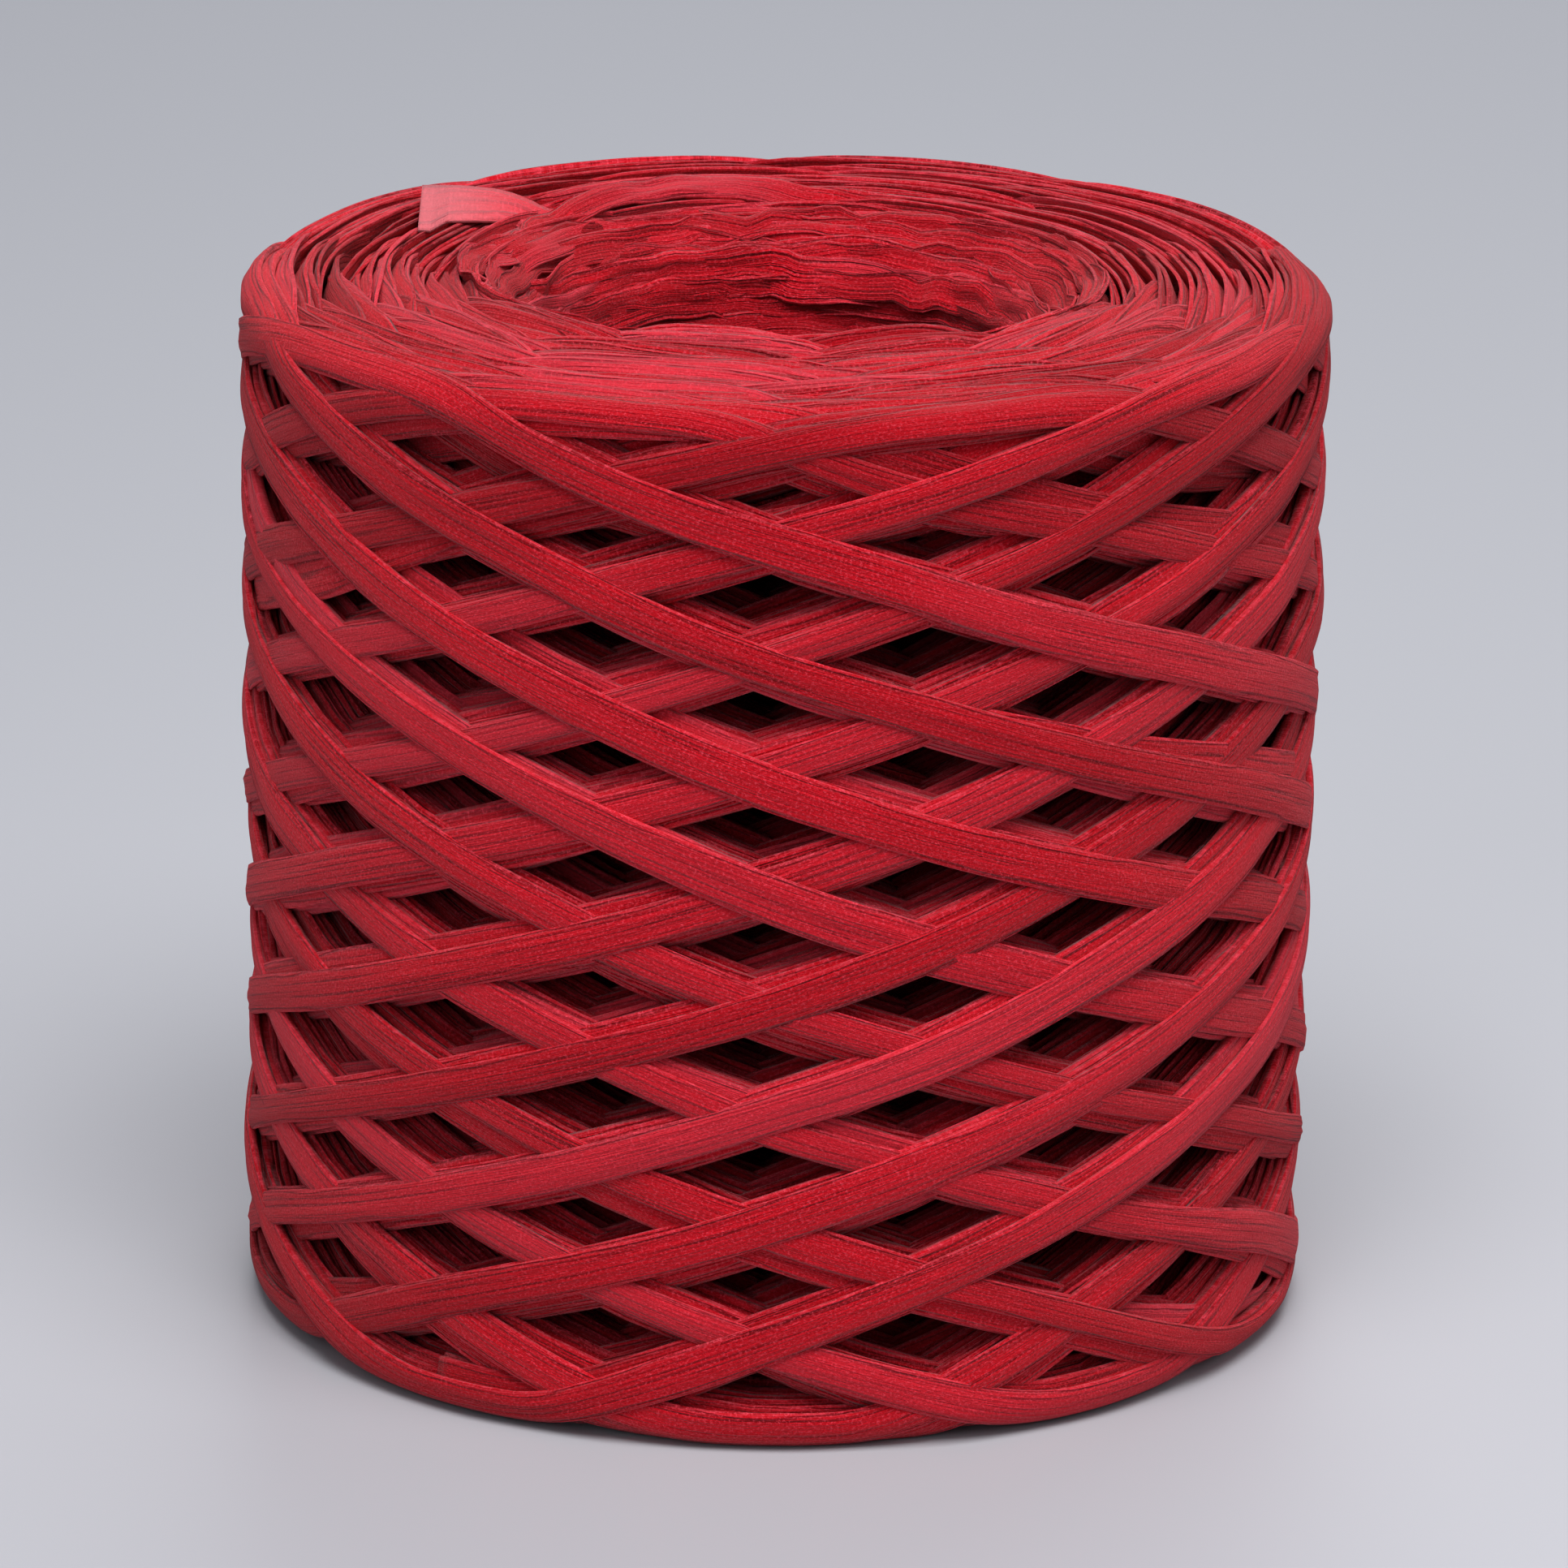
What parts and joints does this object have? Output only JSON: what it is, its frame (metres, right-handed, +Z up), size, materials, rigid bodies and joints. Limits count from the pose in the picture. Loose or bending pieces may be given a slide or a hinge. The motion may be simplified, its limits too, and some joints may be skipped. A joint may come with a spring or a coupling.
{
  "type": "roll of paper raffia ribbon",
  "caption": "Cylindrical roll of cross-wound red paper raffia ribbon with an open bore, deep diamond gaps between the crossing strands and a loose unfolded end on top.",
  "frame": {"origin": "centre of the base, on the roll's axis, at the face that it stands on", "axes": "+Z up along the bore; -Y towards the viewer in the picture; the loose end lies on the top face at the back left"},
  "size_m": [0.1006, 0.1006, 0.0993],
  "materials": {
    "raffia_paper": "matte crepe paper with fine lengthwise creases and paler worn edges"
  },
  "bodies": {
    "root": {"wound_roll": "raffia_paper", "loose_end": "raffia_paper"}
  },
  "joints": []
}
